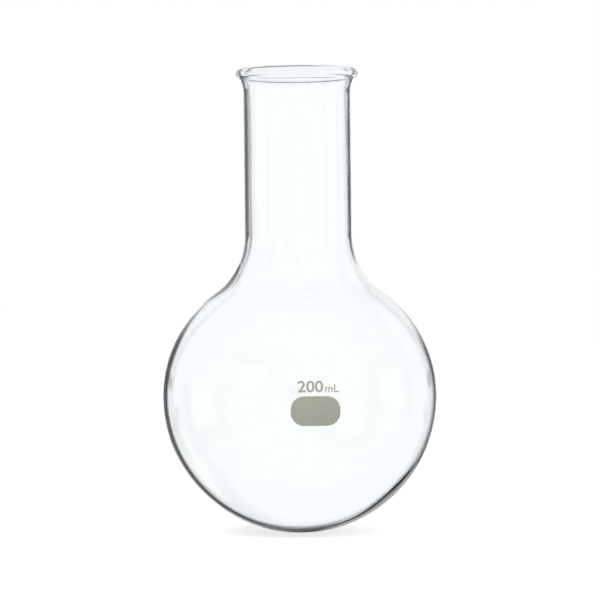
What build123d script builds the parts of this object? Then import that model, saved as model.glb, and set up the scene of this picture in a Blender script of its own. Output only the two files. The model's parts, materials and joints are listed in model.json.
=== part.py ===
from build123d import *
import math
import os

# A round-bottom laboratory flask, blown from one piece of borosilicate glass,
# with an enamel writing spot fired onto the front of the bulb.
# Millimetres. The flask's axis is Z, the origin is the lowest point of the
# bulb, and the side that carries the enamel faces -Y.

# Outer form
body_diameter = 85.0
overall_height = 144.0
neck_diameter = 33.3
shoulder_radius = 21.7

# The upper half of the bulb is an arc centred this far off the axis, so that
# the crown is a little flatter than the round lower half.
crown_offset = 3.0

# Glass thickness in the neck, around the bulb and at its lowest point. The
# cavity's sides give way to its flatter bottom this far below the equator.
neck_wall = 1.2
bulb_wall = 0.9
bottom_wall = 1.4
bottom_start_angle = 45.0

# Mouth: the neck flares out to the rim's width and ends in a fire-polished bead
rim_diameter = 38.0
bead_diameter = 2.8
flare_radius = 12.6
crease_radius = 0.6

# Writing spot. The offset is to the right of the axis, the drop is from the
# bulb's equator down to the middle of the spot, and the side is the straight
# stretch that the round corners leave at each end.
spot_width = 14.7
spot_height = 8.8
spot_side = 0.8
spot_offset = 4.6
spot_drop = 3.0
enamel_thickness = 0.06

# Places worked out from the sizes above. A radius is taken from the axis.
body_radius = body_diameter / 2
equator_height = body_radius
neck_radius = neck_diameter / 2
bead_radius = bead_diameter / 2
bead_centre = (rim_diameter / 2 - bead_radius, overall_height - bead_radius)

# The middle of the flaring wall bends out to the middle of the bead, or in to
# it where the rim is narrower than the neck: flare_side is then -1.
wall_middle = neck_radius - neck_wall / 2
flare_step = bead_centre[0] - wall_middle
flare_side = math.copysign(1, flare_step)
flare_middle = flare_radius + neck_wall / 2
flare_centre_radius = wall_middle + flare_side * flare_middle
flare_sweep = math.degrees(math.acos(1 - abs(flare_step) / flare_middle))
flare_height = bead_centre[1] - flare_middle * math.sin(math.radians(flare_sweep))
flare_centre = (flare_centre_radius, flare_height)


def glass_surface(bulb_depth, neck_depth):
    """Edges of one surface of the glass, from the bulb's equator up to the bead.

    The depths are how far it lies inside the outer surface, at the bulb and
    in the neck.
    """
    crown_radius = body_radius - crown_offset - bulb_depth
    shoulder_curve = shoulder_radius + neck_depth
    shoulder_centre_radius = neck_radius + shoulder_radius
    across = shoulder_centre_radius - crown_offset
    apart = crown_radius + shoulder_curve
    lean = math.degrees(math.acos(across / apart))
    shoulder_height = equator_height + math.sqrt(apart**2 - across**2)

    crown = CenterArc((crown_offset, equator_height), crown_radius, 0, lean)
    shoulder = CenterArc((shoulder_centre_radius, shoulder_height), shoulder_curve, 180 + lean, -lean)
    neck = Line(shoulder @ 1, (neck_radius - neck_depth, flare_height))
    flare_curve = flare_middle + flare_side * (neck_depth - neck_wall / 2)
    flare_start = 90 + flare_side * 90
    flare = CenterArc(flare_centre, flare_curve, flare_start, -flare_side * flare_sweep)
    return [crown, shoulder, neck, flare]


def round_bowl(radius):
    """Lower half of a round bulb."""
    return CenterArc((0, equator_height), radius, -90, 90)


def cavity_bowl():
    """Lower half of the cavity, as a bottom arc and a side arc that run smoothly into each other.

    The side arc's centre is off the axis, by as much as brings the bottom
    arc down to the glass that is wanted there.
    """
    start = math.radians(bottom_start_angle)
    side_offset = (bottom_wall - bulb_wall) / (1 + math.tan(start) - 1 / math.cos(start))
    side_radius = body_radius - bulb_wall - side_offset
    bottom_radius = body_radius - bottom_wall + side_offset * math.tan(start)
    bottom_centre = (0, bottom_wall + bottom_radius)
    bottom = CenterArc(bottom_centre, bottom_radius, -90, 90 - bottom_start_angle)
    side = CenterArc((side_offset, equator_height), side_radius, -bottom_start_angle, bottom_start_angle)
    return [bottom, side]


def make_flask():
    """The glass, turned about the axis from its wall section."""
    outside = [round_bowl(body_radius), *glass_surface(0, 0)]
    inside = [*cavity_bowl(), *glass_surface(bulb_wall, neck_wall)]
    mouth_end = Line(outside[-1] @ 1, inside[-1] @ 1)
    lowest_point = Line(outside[0] @ 0, inside[0] @ 0)
    wall = make_face([*outside, mouth_end, *inside, lowest_point])

    # The bead's seam is turned into the wall, so that only the two creases
    # are left as corners on the bead.
    bead = Pos(*bead_centre) * Rot(0, 0, 270 - flare_side * flare_sweep) * Circle(bead_radius)
    section = wall + bead
    creases = section.vertices().sort_by_distance(bead_centre)[:2]
    section = fillet(creases, crease_radius)
    return revolve(Plane.XZ * section, Axis.Z)


def bulb_form(growth):
    """The bulb as a full solid, this much larger all over than the glass."""
    bowl = round_bowl(body_radius + growth)
    crown = glass_surface(-growth, 0)[0]
    top = Line(crown @ 1, (0, (crown @ 1).Y))
    axis = Line(top @ 1, bowl @ 0)
    return revolve(Plane.XZ * make_face([bowl, crown, top, axis]), Axis.Z)


def make_marking_spot():
    """The enamel, a thin skin of even thickness on the front of the bulb."""
    corner_radius = (spot_height - spot_side) / 2
    outline = RectangleRounded(spot_width, spot_height, corner_radius)
    outline = Plane.XZ * Pos(spot_offset, equator_height - spot_drop) * outline
    skin = bulb_form(enamel_thickness) - bulb_form(0)
    return skin & extrude(outline, body_diameter)


os.makedirs("parts", exist_ok=True)
export_step(make_flask(), "parts/flask.step")
export_step(make_marking_spot(), "parts/marking_spot.step")
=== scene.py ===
import json
import math

import bpy
from mathutils import Euler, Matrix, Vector, noise


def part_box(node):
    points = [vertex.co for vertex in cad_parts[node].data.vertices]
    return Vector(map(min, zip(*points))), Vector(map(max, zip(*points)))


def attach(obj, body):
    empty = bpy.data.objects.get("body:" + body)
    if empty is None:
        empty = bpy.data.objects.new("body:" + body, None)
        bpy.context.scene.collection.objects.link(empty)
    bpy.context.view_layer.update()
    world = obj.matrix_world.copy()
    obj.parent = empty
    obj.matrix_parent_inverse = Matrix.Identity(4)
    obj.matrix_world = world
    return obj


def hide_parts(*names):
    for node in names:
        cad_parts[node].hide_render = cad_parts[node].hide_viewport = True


# A clear round-bottom flask on a pale floor. Metres, in the frame of the
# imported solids: the flask's axis is Z and its marked side faces -Y.

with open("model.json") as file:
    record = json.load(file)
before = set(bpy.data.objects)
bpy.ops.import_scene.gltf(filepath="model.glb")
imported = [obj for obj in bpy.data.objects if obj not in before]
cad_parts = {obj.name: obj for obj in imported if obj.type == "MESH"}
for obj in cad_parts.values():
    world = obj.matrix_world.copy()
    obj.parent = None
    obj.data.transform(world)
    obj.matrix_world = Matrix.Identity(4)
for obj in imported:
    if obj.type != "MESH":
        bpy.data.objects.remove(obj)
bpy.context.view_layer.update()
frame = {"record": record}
MM = 0.001

# Sizes read from the frame
flask_low, flask_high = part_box("flask")
mounts = {mount["name"]: mount for mount in frame["record"]["mounts"]}
neck_radius = mounts["neck_grip"]["dims"]["r_mm"] * MM
neck_wall = neck_radius - mounts["neck_bore"]["dims"]["r_mm"] * MM
overall_height = flask_high.z
body_radius = (flask_high.x - flask_low.x) / 2
equator_height = body_radius

# The rest of the flask's form. The crease between flare and bead is softer here
# than in the solids.
shoulder_radius = 21.7 * MM
crown_offset = 3.0 * MM
bulb_wall = 0.9 * MM
bottom_wall = 1.4 * MM
bottom_start_angle = 45.0
rim_radius = 19.0 * MM
bead_radius = 1.4 * MM
flare_radius = 12.6 * MM
crease_radius = 1.5 * MM

# Fineness of the flask's mesh
turn_steps = 240
profile_step = 1.2 * MM
bead_step = 0.35 * MM
on_axis = 1e-9

# Hand-worked glass: the inside surface waves a little about its true form
wave_height = 0.12 * MM
wave_length = 26.0 * MM

# and the bore leans to the right, so that the wall is thinner there than on the
# left by twice the lean. The bore is also wider all round, by this share of the
# lean. Thicker places: x and z, how much, and how far they reach.
wall_lean = 0.2 * MM
wider_share = 0.35
lean_reach = 14.0 * MM
thick_places = (
    (28.0 * MM, 12.5 * MM, 0.9 * MM, 9.0 * MM),
    (-23.0 * MM, 77.0 * MM, 0.5 * MM, 4.5 * MM),
)

# Enamel marking. The spot's middle is right of the axis and below the equator.
spot_width = 14.7 * MM
spot_height = 8.8 * MM
spot_side = 0.8 * MM
spot_offset = 4.6 * MM
spot_drop = 3.0 * MM
outline_step = 0.35 * MM
enamel_thickness = 0.05 * MM
enamel_root = 0.01 * MM

# The spot's skin is laid in rings, as shares of the way out to its outline, and
# its edge is rounded off to this share of its thickness.
spot_rings = 14
rim_rings = (0.965, 0.985)
edge_share = 0.45

# Lettering, with heights from the equator and left ends from the axis
figure_baseline = 2.5 * MM
figure_left = -0.7 * MM
figure_width = 7.65 * MM
figure_height = 3.5 * MM
unit_left = 7.5 * MM
unit_width = 4.0 * MM
unit_height = 2.35 * MM
figure_boldness = 0.02
unit_boldness = 0.01
letter_smoothness = 6

# Camera, for a square picture
camera_distance = 0.82
rim_view_angle = -4.9
picture_side = 600
pixels_per_metre = 3215.0
bulb_pixel = (298.9, 395.9)
camera_roll = -0.57
sensor_width = 36.0


def arc(centre, radius, start, end, step):
    """Points along an arc of the wall section, as (distance from the axis, height). Angles in degrees."""
    sweep = math.radians(end - start)
    count = max(2, round(abs(sweep) * radius / step))
    points = []
    for index in range(count + 1):
        angle = math.radians(start) + sweep * index / count
        points.append((centre[0] + radius * math.cos(angle), centre[1] + radius * math.sin(angle)))
    return points


def line(start, end, step):
    """Points along a straight stretch of the wall section."""
    count = max(1, round(math.dist(start, end) / step))
    return [
        (start[0] + (end[0] - start[0]) * index / count, start[1] + (end[1] - start[1]) * index / count)
        for index in range(count + 1)
    ]


def circles_meet(centre_a, radius_a, centre_b, radius_b):
    """The point where two circles cross, on the left of the line from a to b."""
    apart = math.dist(centre_a, centre_b)
    along = (apart**2 + radius_a**2 - radius_b**2) / (2 * apart)
    across = math.sqrt(radius_a**2 - along**2)
    unit = ((centre_b[0] - centre_a[0]) / apart, (centre_b[1] - centre_a[1]) / apart)
    return (
        centre_a[0] + unit[0] * along - unit[1] * across,
        centre_a[1] + unit[1] * along + unit[0] * across,
    )


def heading(start, end):
    """The direction from one point to another, in degrees."""
    return math.degrees(math.atan2(end[1] - start[1], end[0] - start[0]))


# Places shared by the two surfaces of the glass
bead_centre = (rim_radius - bead_radius, overall_height - bead_radius)
flare_centre_radius = neck_radius + flare_radius
flare_middle = flare_radius + neck_wall / 2
flare_reach = flare_centre_radius - bead_centre[0]
flare_height = bead_centre[1] - math.sqrt(flare_middle**2 - flare_reach**2)
flare_centre = (flare_centre_radius, flare_height)
shoulder_centre_radius = neck_radius + shoulder_radius


def upper_surface(bulb_depth, neck_depth, crease_centre):
    """One surface of the glass from the equator up to where its crease meets the bead."""
    crown_radius = body_radius - crown_offset - bulb_depth
    shoulder_curve = shoulder_radius + neck_depth
    across = shoulder_centre_radius - crown_offset
    apart = crown_radius + shoulder_curve
    lean = math.degrees(math.acos(across / apart))
    shoulder_height = equator_height + math.sqrt(apart**2 - across**2)
    flare_end = heading(flare_centre, crease_centre) % 360
    points = arc((crown_offset, equator_height), crown_radius, 0, lean, profile_step)
    shoulder_centre = (shoulder_centre_radius, shoulder_height)
    points += arc(shoulder_centre, shoulder_curve, 180 + lean, 180, profile_step)[1:]
    points += line(points[-1], (neck_radius - neck_depth, flare_height), profile_step)[1:]
    points += arc(flare_centre, flare_radius + neck_depth, 180, flare_end, profile_step)[1:]
    return points


def wall_section():
    """Points up the outside and over the bead, and points down the inside to the bottom."""
    bead_reach = bead_radius + crease_radius
    outer_crease = circles_meet(flare_centre, flare_radius - crease_radius, bead_centre, bead_reach)
    inner_reach = flare_radius + neck_wall + crease_radius
    inner_crease = circles_meet(flare_centre, inner_reach, bead_centre, bead_reach)
    outside = arc((0, equator_height), body_radius, -90, 0, profile_step)
    outside += upper_surface(0, 0, outer_crease)[1:]
    outer_turn = (heading(outer_crease, outside[-1]) % 360, heading(outer_crease, bead_centre) % 360)
    outside += arc(outer_crease, crease_radius, *outer_turn, bead_step)[1:]

    inside = upper_surface(bulb_wall, neck_wall, inner_crease)
    inner_turn = (heading(inner_crease, inside[-1]), heading(inner_crease, bead_centre))
    inside += arc(inner_crease, crease_radius, *inner_turn, bead_step)[1:]
    inside.reverse()

    bead_start = heading(bead_centre, outside[-1])
    bead_end = heading(bead_centre, inside[0]) % 360
    bead = arc(bead_centre, bead_radius, bead_start, bead_end, bead_step)[1:-1]

    start = math.radians(bottom_start_angle)
    side_offset = (bottom_wall - bulb_wall) / (1 + math.tan(start) - 1 / math.cos(start))
    side_radius = body_radius - bulb_wall - side_offset
    bottom_radius = body_radius - bottom_wall + side_offset * math.tan(start)
    inside += arc((side_offset, equator_height), side_radius, 0, -bottom_start_angle, profile_step)[1:]
    bottom_centre = (0, bottom_wall + bottom_radius)
    inside += arc(bottom_centre, bottom_radius, -bottom_start_angle, -90, profile_step)[1:]
    return outside + bead, inside


def make_mesh(name, vertices, faces):
    """A smooth-shaded object."""
    mesh = bpy.data.meshes.new(name)
    mesh.from_pydata(vertices, [], faces)
    mesh.update()
    piece = bpy.data.objects.new(name, mesh)
    bpy.context.scene.collection.objects.link(piece)
    for face in mesh.polygons:
        face.use_smooth = True
    return piece


def wall_wave(place):
    """How much thicker the wall is at a place than its true form, in metres. The mouth is true."""
    below_mouth = min(1.0, max(0.0, (flare_height - place.z) / wave_length))
    wave = wave_height * noise.noise(place / wave_length)
    wave -= wall_lean * (wider_share + math.tanh(place.x / lean_reach))
    for across, height, thicker, reach in thick_places:
        apart = math.dist((across, 0, height), place)
        wave += thicker * math.exp(-((apart / reach) ** 2))
    return below_mouth * wave


def make_flask():
    """The glass, turned about the axis, with waves in its inside surface."""
    outside, inside = wall_section()
    section = outside + inside
    vertices = []
    rings = []
    for index, (radius, height) in enumerate(section):
        if radius < on_axis:
            rings.append([len(vertices)])
            vertices.append(Vector((0, 0, height)))
            continue
        before = section[max(index - 1, 0)]
        after = section[min(index + 1, len(section) - 1)]
        outward = Vector((after[1] - before[1], before[0] - after[0])).normalized()
        ring = []
        for step in range(turn_steps):
            turn = math.tau * step / turn_steps
            around = Vector((math.cos(turn), math.sin(turn), 0))
            place = around * radius + Vector((0, 0, height))
            if index >= len(outside):
                place += (around * outward.x + Vector((0, 0, outward.y))) * wall_wave(place)
            ring.append(len(vertices))
            vertices.append(place)
        rings.append(ring)
    faces = []
    for lower, upper in zip(rings, rings[1:]):
        for step in range(turn_steps):
            following = (step + 1) % turn_steps
            if len(lower) == 1:
                faces.append((lower[0], upper[following], upper[step]))
            elif len(upper) == 1:
                faces.append((lower[step], lower[following], upper[0]))
            else:
                faces.append((lower[step], lower[following], upper[following], upper[step]))
    return make_mesh("glass_body", vertices, faces)


def on_bulb(across, up, lift):
    """A place on the front of the bulb, this far over its surface."""
    radius = body_radius + lift
    return Vector((across, -math.sqrt(radius**2 - across**2 - up**2), equator_height + up))


def make_spot():
    """The writing spot as a thin skin, wrapped on the bulb."""
    corner = (spot_height - spot_side) / 2
    reach = (spot_width / 2 - corner, spot_height / 2 - corner)
    corners = [arc((x * reach[0], z * reach[1]), corner, 90 * turn, 90 * turn + 90, outline_step)
               for turn, (x, z) in enumerate(((1, 1), (-1, 1), (-1, -1), (1, -1)))]
    outline = []
    for stretch, following in zip(corners, corners[1:] + corners[:1]):
        outline += stretch[:-1] + line(stretch[-1], following[0], outline_step)[:-1]
    shares = [index / spot_rings for index in range(1, spot_rings)] + [*rim_rings, 1.0]
    vertices = [on_bulb(spot_offset, -spot_drop, enamel_thickness)]
    for share in shares:
        lift = enamel_thickness if share < 1.0 else enamel_thickness * edge_share
        vertices += [on_bulb(spot_offset + x * share, z * share - spot_drop, lift) for x, z in outline]
    vertices += [on_bulb(spot_offset + x, z - spot_drop, -enamel_root) for x, z in outline]
    count = len(outline)
    faces = [(0, 1 + step, 1 + (step + 1) % count) for step in range(count)]
    for ring in range(len(shares)):
        start = 1 + ring * count
        for step in range(count):
            following = (step + 1) % count
            faces.append((start + step, start + count + step, start + count + following, start + following))
    return make_mesh("writing_spot", vertices, faces)


def make_lettering(name, words, left, width, height, boldness):
    """Raised enamel figures on the bulb, fitted to a width and height."""
    curve = bpy.data.curves.new(name, "FONT")
    curve.body = words
    curve.offset = boldness
    curve.extrude = 0.5
    curve.resolution_u = letter_smoothness
    writer = bpy.data.objects.new(name + "_curve", curve)
    bpy.context.scene.collection.objects.link(writer)
    bpy.context.view_layer.update()
    mesh = bpy.data.meshes.new_from_object(writer.evaluated_get(bpy.context.evaluated_depsgraph_get()))
    bpy.data.objects.remove(writer)
    low = [min(vertex.co[axis] for vertex in mesh.vertices) for axis in range(3)]
    high = [max(vertex.co[axis] for vertex in mesh.vertices) for axis in range(3)]
    for vertex in mesh.vertices:
        across = left + (vertex.co.x - low[0]) / (high[0] - low[0]) * width
        up = figure_baseline + (vertex.co.y - low[1]) / (high[1] - low[1]) * height
        lift = enamel_thickness if vertex.co.z > 0 else -enamel_root
        vertex.co = on_bulb(across, up, lift)
    mesh.name = name
    piece = bpy.data.objects.new(name, mesh)
    bpy.context.scene.collection.objects.link(piece)
    return piece


# Materials. Colours are linear, and bump distances are in metres.
glass_colour = (0.985, 0.995, 1.0, 1.0)
glass_index = 1.472
skin_scale = 55.0
skin_strength = 0.03
skin_depth = 0.0004
enamel_dark = (0.335, 0.345, 0.282, 1.0)
enamel_light = (0.372, 0.378, 0.312, 1.0)
enamel_fleck = (0.46, 0.47, 0.41, 1.0)
cloud_scale = 420.0
grain_scale = 9000.0
fleck_start = 0.62
fleck_full = 0.8
fleck_share = 0.35
enamel_roughness = (0.48, 0.68)
enamel_index = 1.5
grain_strength = 0.3
grain_depth = 0.00002


def add(tree, kind, settings=None, inputs=None):
    """A node with its settings, and its inputs linked or set."""
    node = tree.nodes.new(kind)
    for key, value in (settings or {}).items():
        setattr(node, key, value)
    for key, value in (inputs or {}).items():
        if isinstance(value, bpy.types.NodeSocket):
            tree.links.new(value, node.inputs[key])
        else:
            node.inputs[key].default_value = value
    return node


def calculate(tree, operation, *values):
    """The result of a sum on numbers or sockets."""
    inputs = dict(enumerate(values))
    return add(tree, "ShaderNodeMath", {"operation": operation}, inputs).outputs[0]


def fade(tree, value, start, end):
    """0 up to the start and 1 past the end, smooth between them."""
    settings = {"interpolation_type": "SMOOTHSTEP"}
    low, high, to_low, to_high = (start, end, 0.0, 1.0) if start < end else (end, start, 1.0, 0.0)
    inputs = {"Value": value, "From Min": low, "From Max": high, "To Min": to_low, "To Max": to_high}
    return add(tree, "ShaderNodeMapRange", settings, inputs).outputs[0]


def blend(tree, share, first, second):
    """A colour between two colours."""
    node = add(tree, "ShaderNodeMix", {"data_type": "RGBA"}, {0: share})
    for socket, value in ((node.inputs[6], first), (node.inputs[7], second)):
        if isinstance(value, bpy.types.NodeSocket):
            tree.links.new(value, socket)
        else:
            socket.default_value = value
    return node.outputs[2]


def new_material(name):
    """An empty material and its node tree."""
    material = bpy.data.materials.new(name)
    material.use_nodes = True
    material.node_tree.nodes.clear()
    return material, material.node_tree


def glass_material():
    """Clear borosilicate glass with a faint cool cast and a fire-polished, very slightly uneven skin."""
    material, tree = new_material("borosilicate")
    place = add(tree, "ShaderNodeTexCoord").outputs["Object"]
    skin = add(tree, "ShaderNodeTexNoise", None, {"Vector": place, "Scale": skin_scale, "Detail": 2.0})
    uneven = {"Height": skin.outputs["Fac"], "Strength": skin_strength, "Distance": skin_depth}
    bump = add(tree, "ShaderNodeBump", None, uneven)
    inputs = {
        "Base Color": glass_colour,
        "Roughness": 0.0,
        "IOR": glass_index,
        "Transmission Weight": 1.0,
        "Normal": bump.outputs[0],
    }
    shader = add(tree, "ShaderNodeBsdfPrincipled", None, inputs)
    add(tree, "ShaderNodeOutputMaterial", None, {"Surface": shader.outputs[0]})
    return material


def enamel_material():
    """Warm grey glass enamel, screen printed and fired: matt, with a fine grain and faint clouding."""
    material, tree = new_material("fired_enamel")
    place = add(tree, "ShaderNodeTexCoord").outputs["Object"]
    cloud = add(tree, "ShaderNodeTexNoise", None, {"Vector": place, "Scale": cloud_scale, "Detail": 3.0})
    grain = add(tree, "ShaderNodeTexNoise", None, {"Vector": place, "Scale": grain_scale, "Detail": 2.0})
    fleck = fade(tree, grain.outputs["Fac"], fleck_start, fleck_full)
    colour = blend(tree, cloud.outputs["Fac"], enamel_dark, enamel_light)
    colour = blend(tree, calculate(tree, "MULTIPLY", fleck, fleck_share), colour, enamel_fleck)
    spread = {"Value": grain.outputs["Fac"], "To Min": enamel_roughness[0], "To Max": enamel_roughness[1]}
    rough = add(tree, "ShaderNodeMapRange", None, spread)
    uneven = {"Height": grain.outputs["Fac"], "Strength": grain_strength, "Distance": grain_depth}
    bump = add(tree, "ShaderNodeBump", None, uneven)
    inputs = {
        "Base Color": colour,
        "Roughness": rough.outputs[0],
        "IOR": enamel_index,
        "Normal": bump.outputs[0],
    }
    shader = add(tree, "ShaderNodeBsdfPrincipled", None, inputs)
    add(tree, "ShaderNodeOutputMaterial", None, {"Surface": shader.outputs[0]})
    return material


# Stage. What the glass shows through itself and in its reflections, as a studio
# that depends on direction alone: white windows with dark cloth round them stand
# behind the flask for four of the views. Each patch is the azimuth and height of
# its middle, its reach to the left, right, down and up, its soft edge, all in
# degrees, and its strength. The second cloth is the band that darkens the neck's
# edges.
cloths = (
    (0.0, 0.0, 32.0, 32.0, 33.0, 14.0, 4.0, 1.0),
    (0.0, 0.0, 43.0, 43.0, -1.0, 6.0, 1.5, 0.9),
    (45.0, -25.0, 26.0, 26.0, 27.0, 14.0, 6.0, 0.4),
    (90.0, -3.0, 27.0, 27.0, 28.0, 14.0, 6.0, 0.45),
    (225.0, -15.0, 26.0, 26.0, 27.0, 14.0, 6.0, 0.4),
)
windows = (
    (0.0, 0.0, 14.0, 15.5, 18.0, 14.0, 2.5, 1.0),
    (-14.0, -20.0, 9.0, 9.0, 7.0, 7.0, 2.5, 1.0),
    (-14.0, 15.0, 9.0, 9.0, 7.0, 7.0, 2.5, 1.0),
    (45.0, -25.0, 13.0, 13.0, 13.0, 12.0, 4.0, 1.0),
    (90.0, -3.0, 14.0, 14.0, 15.0, 12.0, 4.0, 1.0),
    (225.0, -15.0, 13.0, 13.0, 14.0, 12.0, 4.0, 1.0),
)
room_colour = (0.93, 0.955, 0.985, 1.0)
dark_colour = (0.085, 0.095, 0.10, 1.0)
white = (1.0, 1.0, 1.0, 1.0)

# The world's plain light on matt surfaces, and the floor: its colour, what the
# camera sees it give off so that it looks white, and how far it reaches.
daylight = (0.62, 0.62, 0.62, 1.0)
floor_colour = (0.72, 0.72, 0.72, 1.0)
floor_glow = 0.56
floor_reach = 30.0

# Lamps: name, place and power in watts. They are squares, aimed at the flask.
lamps = (
    ("key_lamp", (-0.7, -0.9, 1.3), 14.0),
    ("fill_lamp", (1.0, -0.6, 0.9), 6.0),
)
lamp_side = 0.9
lamp_target = (0, 0, 0.05)


def angle_of(tree, part, ahead):
    """An angle in degrees, from a part of the direction and how far that goes ahead."""
    ratio = calculate(tree, "DIVIDE", part, ahead)
    return calculate(tree, "DEGREES", calculate(tree, "ARCTANGENT", ratio))


def patch(tree, direction, azimuth, height, left, right, down, up, soft, strength):
    """1 inside a soft-edged rectangle of directions and 0 outside it, times the strength."""
    settings = {"rotation_type": "Z_AXIS"}
    inputs = {"Vector": direction, "Angle": -math.radians(azimuth)}
    turned = add(tree, "ShaderNodeVectorRotate", settings, inputs).outputs[0]
    settings = {"rotation_type": "X_AXIS"}
    inputs = {"Vector": turned, "Angle": -math.radians(height)}
    levelled = add(tree, "ShaderNodeVectorRotate", settings, inputs).outputs[0]
    parts = add(tree, "ShaderNodeSeparateXYZ", None, {0: levelled}).outputs
    ahead = calculate(tree, "MAXIMUM", parts[1], 0.001)
    aside = angle_of(tree, parts[0], ahead)
    over = angle_of(tree, parts[2], ahead)
    share = calculate(tree, "MULTIPLY", strength, fade(tree, aside, -left - soft, -left + soft))
    share = calculate(tree, "MULTIPLY", share, fade(tree, aside, right + soft, right - soft))
    share = calculate(tree, "MULTIPLY", share, fade(tree, over, -down - soft, -down + soft))
    return calculate(tree, "MULTIPLY", share, fade(tree, over, up + soft, up - soft))


def patches(tree, direction, places):
    """The strongest of several patches."""
    share = patch(tree, direction, *places[0])
    for place in places[1:]:
        share = calculate(tree, "MAXIMUM", share, patch(tree, direction, *place))
    return share


def make_floor():
    """A matt floor that the camera sees as white, with the object's shadow on it."""
    material, tree = new_material("pale_floor")
    path = add(tree, "ShaderNodeLightPath")
    matt = add(tree, "ShaderNodeBsdfDiffuse", None, {"Color": floor_colour})
    fill = calculate(tree, "MULTIPLY", path.outputs["Is Camera Ray"], floor_glow)
    glow = add(tree, "ShaderNodeEmission", None, {"Color": white, "Strength": fill})
    seen = add(tree, "ShaderNodeAddShader", None, {0: matt.outputs[0], 1: glow.outputs[0]})
    add(tree, "ShaderNodeOutputMaterial", None, {"Surface": seen.outputs[0]})

    corners = [(x * floor_reach, y * floor_reach, 0) for x, y in ((-1, -1), (1, -1), (1, 1), (-1, 1))]
    floor = make_mesh("floor", corners, [(0, 1, 2, 3)])
    floor.data.materials.append(material)
    floor.visible_glossy = False
    floor.visible_transmission = False


def make_world():
    """White for the camera, the studio for glass, and plain grey light for all else."""
    world = bpy.data.worlds.new("studio")
    bpy.context.scene.world = world
    world.use_nodes = True
    tree = world.node_tree
    tree.nodes.clear()
    path = add(tree, "ShaderNodeLightPath")
    direction = add(tree, "ShaderNodeTexCoord").outputs["Generated"]
    studio = blend(tree, patches(tree, direction, cloths), room_colour, dark_colour)
    studio = blend(tree, patches(tree, direction, windows), studio, white)
    seen_by_glass = (path.outputs["Is Glossy Ray"], path.outputs["Is Transmission Ray"])
    glass_ray = calculate(tree, "MAXIMUM", *seen_by_glass)
    colour = blend(tree, glass_ray, daylight, studio)
    colour = blend(tree, path.outputs["Is Camera Ray"], colour, white)
    background = add(tree, "ShaderNodeBackground", None, {"Color": colour})
    add(tree, "ShaderNodeOutputWorld", None, {"Surface": background.outputs[0]})


def make_lamp(name, place, power):
    """A soft lamp that lights the object, and that the glass doesn't show."""
    lamp = bpy.data.lights.new(name, "AREA")
    lamp.shape = "SQUARE"
    lamp.size = lamp_side
    lamp.energy = power
    holder = bpy.data.objects.new(name, lamp)
    holder.location = place
    aim = Vector(lamp_target) - Vector(place)
    holder.rotation_euler = aim.to_track_quat("-Z", "Y").to_euler()
    holder.visible_glossy = False
    holder.visible_transmission = False
    bpy.context.scene.collection.objects.link(holder)


def make_camera():
    """The camera stands level, below the rim, and puts the bulb where the photograph has it."""
    height = bead_centre[1] + camera_distance * math.tan(math.radians(rim_view_angle))
    drop = math.atan2(height - equator_height, camera_distance)
    reach = math.hypot(camera_distance, height - equator_height)
    focal_pixels = pixels_per_metre * reach
    middle = picture_side / 2
    below = math.atan2(bulb_pixel[1] - middle, focal_pixels)
    aside = math.atan2(bulb_pixel[0] - middle, focal_pixels)
    camera = bpy.data.cameras.new("camera")
    camera.sensor_width = sensor_width
    camera.lens = focal_pixels * sensor_width / picture_side
    holder = bpy.data.objects.new("camera", camera)
    holder.location = (0, -camera_distance, height)
    aim = Euler((math.radians(90) - drop + below, 0, aside), "XYZ").to_matrix()
    roll = Euler((0, 0, math.radians(camera_roll)), "XYZ").to_matrix()
    holder.rotation_euler = (aim @ roll).to_euler()
    bpy.context.scene.collection.objects.link(holder)
    bpy.context.scene.camera = holder


make_camera()

glass = glass_material()
enamel = enamel_material()

flask = make_flask()
flask.data.materials.append(glass)
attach(flask, "root")
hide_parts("flask")

spot = make_spot()
spot.data.materials.append(enamel)
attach(spot, "root")
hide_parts("marking_spot")

for name, words, left, width, height, boldness in (
    ("capacity_figure", "200", figure_left, figure_width, figure_height, figure_boldness),
    ("capacity_unit", "mL", unit_left, unit_width, unit_height, unit_boldness),
):
    lettering = make_lettering(name, words, left, width, height, boldness)
    lettering.data.materials.append(enamel)
    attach(lettering, "root")

make_floor()
make_world()
for name, place, power in lamps:
    make_lamp(name, place, power)

bpy.context.scene.view_settings.view_transform = "Standard"
